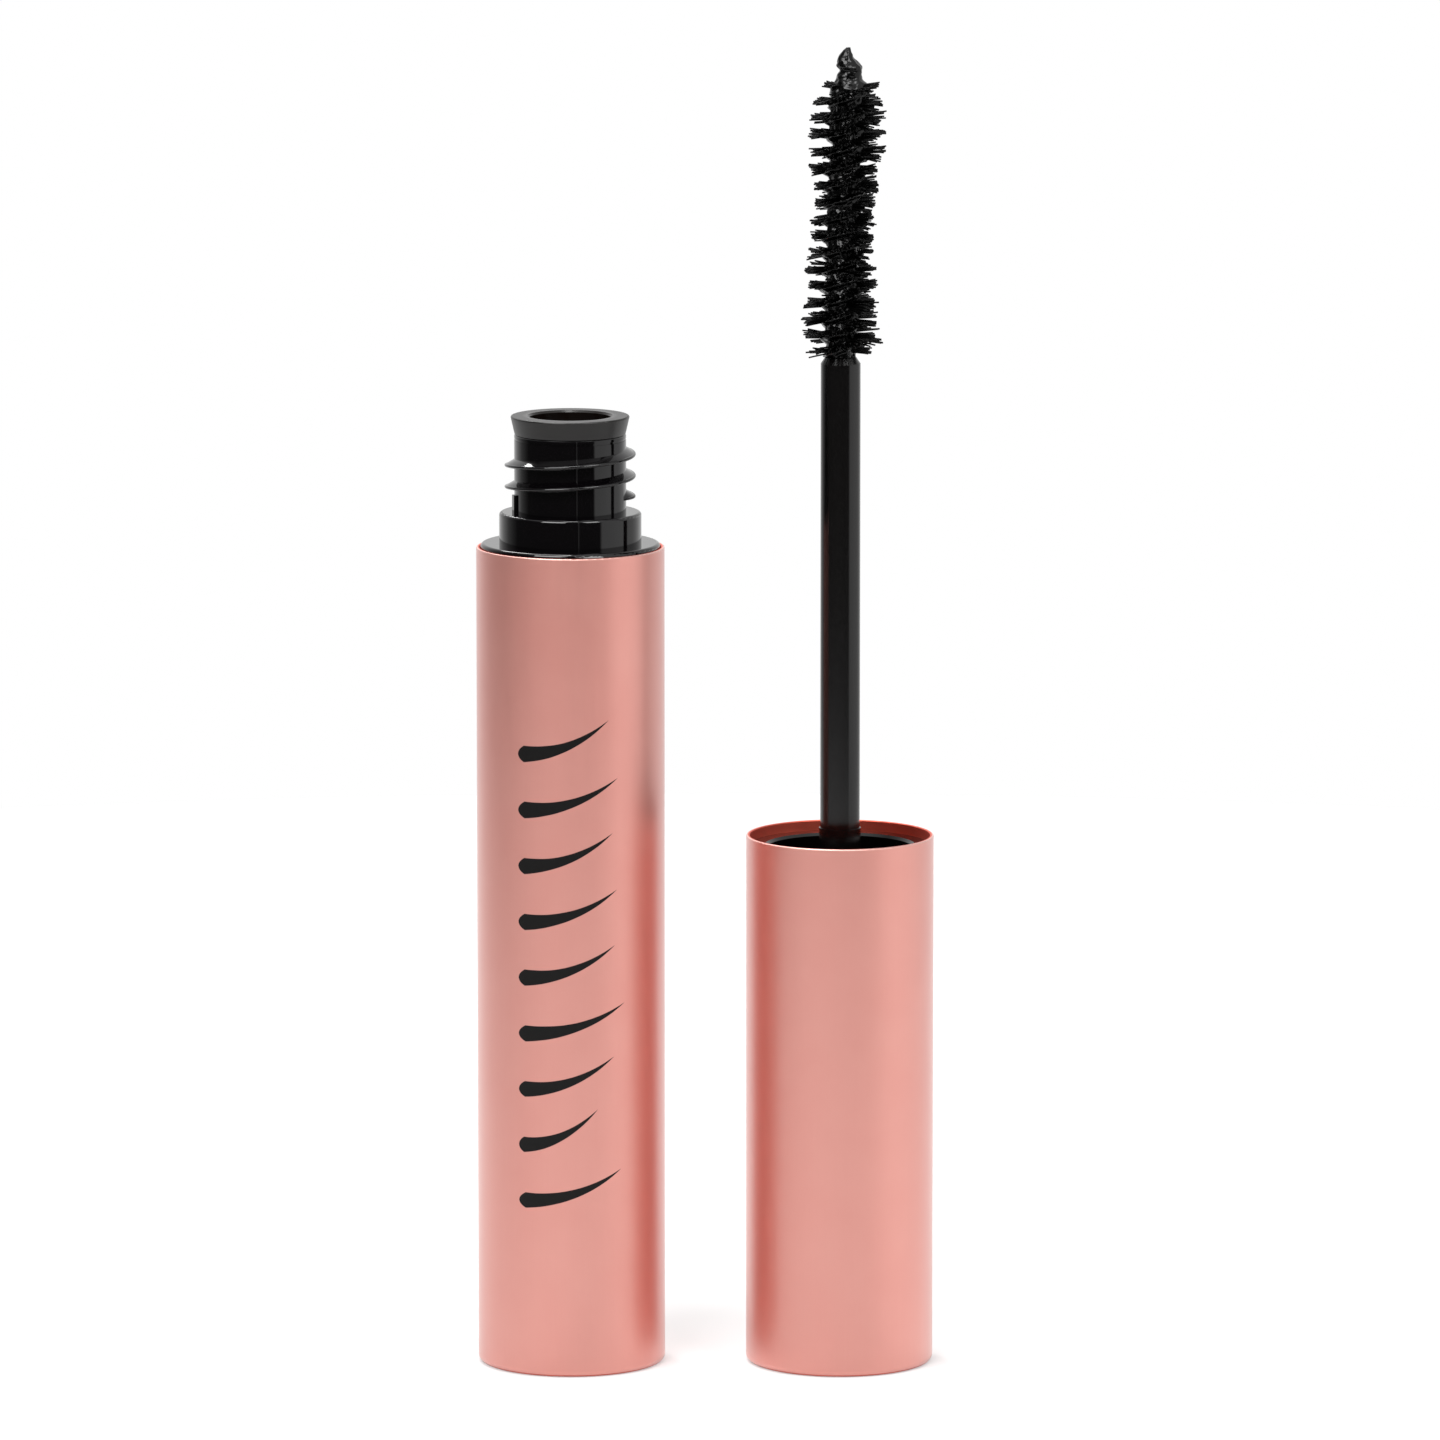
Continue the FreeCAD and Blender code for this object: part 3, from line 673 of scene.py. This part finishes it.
# %% [markdown]
# ## Fibres
#
# In a twisted brush, straight fibres are laid between the two legs of a folded wire, and twisting
# the wire turns the flat comb into a double spiral. Seen from the side it shows tiers, half a twist
# apart. A machine then trims the outline, here to an hourglass. Geometry Nodes follow the same
# steps: points along the axis, an angle that grows with height, a length read from the outline, and
# one tapered fibre on each point. Mascara glues neighbours together at their tips, so each tip is
# drawn towards the middle of its own clump.

# %% Node tree for the fibres
# share of the brush's length, and of the fibres' reach there
OUTLINE = [(0.0, 0.80), (0.055, 1.0), (0.20, 0.95), (0.40, 0.84), (0.60, 0.84),
           (0.78, 1.0), (0.86, 1.0), (0.93, 0.88), (1.0, 0.56)]
FIRST = 0.45 * MM            # the lowest fibre's height over the rod's end
TIP_SHARE = 0.78             # a fibre's radius at its tip, as a share of that at its root
INPUTS = [
    ("Brush length", "NodeSocketFloat", brush_length - FIRST),
    ("Reach", "NodeSocketFloat", 3.84 * MM),
    ("Twist pitch", "NodeSocketFloat", TWIST_PITCH),
    ("Fibres", "NodeSocketInt", 2300),
    ("Fibre radius", "NodeSocketFloat", 0.10 * MM),
    ("Clump height", "NodeSocketFloat", 0.24 * MM),
    ("Clumping", "NodeSocketFloat", 0.75),
    ("Stray", "NodeSocketFloat", 0.12 * MM),
    ("Clump sway", "NodeSocketFloat", 0.34 * MM),
    ("Seed", "NodeSocketInt", 7),
    ("Finish", "NodeSocketMaterial", None)]


def laid_along(tree, given, seeds):
    """How far up each fibre starts, its strand, its angle round the wire, and its clump."""
    index = add(tree, "GeometryNodeInputIndex")
    uneven = add(tree, RANDOM, {2: -0.8, 3: 0.8, "Seed": seeds[1]}, data_type="FLOAT")
    wander = add(tree, RANDOM, {2: -0.36, 3: 0.36, "Seed": seeds[2]}, data_type="FLOAT")
    place = add(tree, MATH, {0: index, 1: uneven.outputs[1]}, operation="ADD")
    share = add(tree, MATH, {0: place, 1: given["Fibres"]}, operation="DIVIDE")
    share = add(tree, "ShaderNodeClamp", {"Value": share})
    along = add(tree, MATH, {0: share, 1: given["Brush length"]}, operation="MULTIPLY")
    strand = add(tree, MATH, {0: index, 1: 2.0}, operation="MODULO")
    half_turn = add(tree, MATH, {0: strand, 1: math.pi}, operation="MULTIPLY")
    turns = add(tree, MATH, {0: along, 1: given["Twist pitch"]}, operation="DIVIDE")
    turn = add(tree, MATH, {0: turns, 1: 2 * math.pi}, operation="MULTIPLY")
    angle = add(tree, MATH, {0: turn, 1: half_turn}, operation="ADD")
    angle = add(tree, MATH, {0: angle, 1: wander.outputs[1]}, operation="ADD")
    steps = add(tree, MATH, {0: along, 1: given["Clump height"]}, operation="DIVIDE")
    steps = add(tree, MATH, {0: steps}, operation="ROUND")
    doubled = add(tree, MATH, {0: steps, 1: 2.0}, operation="MULTIPLY")
    clump = add(tree, MATH, {0: doubled, 1: strand}, operation="ADD")
    return share, along, angle, steps, clump


def trimmed(tree, given, seeds, share, clump):
    """Each fibre's length: the outline, made a little uneven by fibre and by clump."""
    curve = add(tree, "ShaderNodeFloatCurve", {"Value": share})
    points = curve.mapping.curves[0].points
    points[0].location, points[1].location = OUTLINE[0], OUTLINE[-1]
    for x, y in OUTLINE[1:-1]:
        points.new(x, y)
    curve.mapping.update()
    reach = add(tree, MATH, {0: curve, 1: given["Reach"]}, operation="MULTIPLY")
    own = add(tree, RANDOM, {2: 0.94, 3: 1.0, "Seed": seeds[3]}, data_type="FLOAT")
    shared = add(tree, RANDOM, {2: 0.86, 3: 1.0, "Seed": seeds[8], "ID": clump}, data_type="FLOAT")
    even = add(tree, MATH, {0: own.outputs[1], 1: shared.outputs[1]}, operation="MULTIPLY")
    return add(tree, MATH, {0: reach, 1: even}, operation="MULTIPLY")


def glued(tree, given, seeds, along, steps, clump, reach, cos_a, sin_a):
    """How far each tip is pulled: towards its clump's middle, and a little at random."""
    middle = add(tree, MATH, {0: steps, 1: given["Clump height"]}, operation="MULTIPLY")
    rise = add(tree, MATH, {0: middle, 1: along}, operation="SUBTRACT")
    swing = add(tree, MATH, {0: rise, 1: given["Twist pitch"]}, operation="DIVIDE")
    swing = add(tree, MATH, {0: swing, 1: 2 * math.pi}, operation="MULTIPLY")
    arc = add(tree, MATH, {0: swing, 1: reach}, operation="MULTIPLY")
    sideways = add(tree, MATH, {0: arc, 1: given["Clumping"]}, operation="MULTIPLY")
    back = add(tree, MATH, {0: sin_a, 1: -1.0}, operation="MULTIPLY")
    tangent = add(tree, "ShaderNodeCombineXYZ", {"X": back, "Y": cos_a})
    pull = add(tree, VECTOR_MATH, {0: tangent, "Scale": sideways}, operation="SCALE")
    lifted = add(tree, MATH, {0: rise, 1: given["Clumping"]}, operation="MULTIPLY")
    pulls = [add(tree, "ShaderNodeCombineXYZ", {"Z": lifted})]
    for size, first, group in (("Stray", 5, {}), ("Clump sway", 9, {"ID": clump})):
        low = add(tree, MATH, {0: given[size], 1: -1.0}, operation="MULTIPLY")
        x, y, z = [add(tree, RANDOM, {2: low, 3: given[size], "Seed": seeds[first + i], **group},
                       data_type="FLOAT").outputs[1] for i in range(3)]
        pulls.append(add(tree, "ShaderNodeCombineXYZ", {"X": x, "Y": y, "Z": z}))
    for other in pulls:
        pull = add(tree, VECTOR_MATH, {0: pull, 1: other}, operation="ADD")
    return pull


print("fibre settings:", [label for label, kind, value in INPUTS])

# %% [markdown]
# Each fibre is a six-sided cone on a point of the wire. The tree makes the points, sets a cone on
# each, and lets the pull bend it, hardly at the root and fully at the tip.

# %% Put the tree together


def fibre_tree():
    tree = bpy.data.node_groups.new("twisted_brush", "GeometryNodeTree")
    for label, kind, value in INPUTS:
        socket = tree.interface.new_socket(label, in_out="INPUT", socket_type=kind)
        if value is not None:
            socket.default_value = value
    tree.interface.new_socket("Fibres", in_out="OUTPUT", socket_type="NodeSocketGeometry")
    given = add(tree, "NodeGroupInput").outputs

    seeds = {step: add(tree, MATH, {0: given["Seed"], 1: float(step)}, operation="ADD")
             for step in range(1, 12)}
    share, along, angle, steps, clump = laid_along(tree, given, seeds)
    reach = trimmed(tree, given, seeds, share, clump)
    cos_a = add(tree, MATH, {0: angle}, operation="COSINE")
    sin_a = add(tree, MATH, {0: angle}, operation="SINE")
    tilt = add(tree, RANDOM, {2: -0.07, 3: 0.07, "Seed": seeds[4]}, data_type="FLOAT").outputs[1]
    direction = add(tree, "ShaderNodeCombineXYZ", {"X": cos_a, "Y": sin_a, "Z": tilt})
    root = add(tree, "ShaderNodeCombineXYZ", {"Z": along})
    pull = glued(tree, given, seeds, along, steps, clump, reach, cos_a, sin_a)

    cloud = add(tree, "GeometryNodePoints", {"Count": given["Fibres"], "Position": root})
    held = add(tree, "GeometryNodeCaptureAttribute", {"Geometry": cloud}, domain="POINT")
    held.capture_items.new("VECTOR", "Pull")
    tree.links.new(pull.outputs[0], held.inputs[1])

    cone = add(tree, "GeometryNodeMeshCone", {
        "Vertices": 6, "Side Segments": 6, "Radius Top": TIP_SHARE, "Radius Bottom": 1.0,
        "Depth": 1.0}).outputs["Mesh"]
    place = add(tree, "GeometryNodeInputPosition")
    up_fibre = add(tree, "ShaderNodeSeparateXYZ", {0: place}).outputs["Z"]
    shaft = add(tree, "GeometryNodeCaptureAttribute", {"Geometry": cone}, domain="POINT")
    shaft.capture_items.new("FLOAT", "Along")
    tree.links.new(up_fibre, shaft.inputs[1])

    facing = add(tree, "FunctionNodeAlignRotationToVector", {"Vector": direction}, axis="Z")
    size = add(tree, "ShaderNodeCombineXYZ", {
        "X": given["Fibre radius"], "Y": given["Fibre radius"], "Z": reach})
    placed = add(tree, "GeometryNodeInstanceOnPoints", {
        "Points": held, "Instance": shaft, "Rotation": facing, "Scale": size})
    real = add(tree, "GeometryNodeRealizeInstances", {0: placed})
    bow = add(tree, MATH, {0: shaft.outputs[1], 1: 1.6}, operation="POWER")
    offset = add(tree, VECTOR_MATH, {0: held.outputs[1], "Scale": bow}, operation="SCALE")
    shifted = add(tree, "GeometryNodeSetPosition", {0: real, "Offset": offset})
    smooth = add(tree, "GeometryNodeSetShadeSmooth", {0: shifted})
    done = add(tree, "GeometryNodeSetMaterial", {0: smooth, "Material": given["Finish"]})
    add(tree, "NodeGroupOutput", {0: done})
    return tree


def made_by_nodes(name, tree, values):
    """Run a node tree on an empty mesh, and keep its result as a plain mesh."""
    holder = bpy.data.objects.new(name + "_holder", bpy.data.meshes.new(name + "_holder"))
    scene.collection.objects.link(holder)
    modifier = holder.modifiers.new("nodes", "NODES")
    modifier.node_group = tree
    for item in tree.interface.items_tree:
        if item.in_out == "INPUT" and item.name in values:
            modifier[item.identifier] = values[item.name]
    seen = holder.evaluated_get(bpy.context.evaluated_depsgraph_get())
    mesh = bpy.data.meshes.new_from_object(seen)
    mesh.name = name
    bpy.data.objects.remove(holder)
    made = bpy.data.objects.new(name, mesh)
    scene.collection.objects.link(made)
    return made


# %% Grow the fibres and bend them
values = {label: value for label, kind, value in INPUTS if value is not None}
values["Finish"] = coated_fibre
fibres = made_by_nodes("brush_fibres", fibre_tree(), values)
for vertex in fibres.data.vertices:
    along = vertex.co.z + FIRST
    vertex.co = (vertex.co.x + wand_x + bend_at(along), vertex.co.y, along + brush_start)
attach(fibres, "wand")
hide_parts("bristles")
print("fibres:", len(fibres.data.polygons), "faces", "from", len(fibres.data.vertices), "points")

# %% [markdown]
#
# The picture is shown as it was lit, with no film look on top.

# %% Finish
scene.view_settings.view_transform = "Standard"


print("pieces ready")
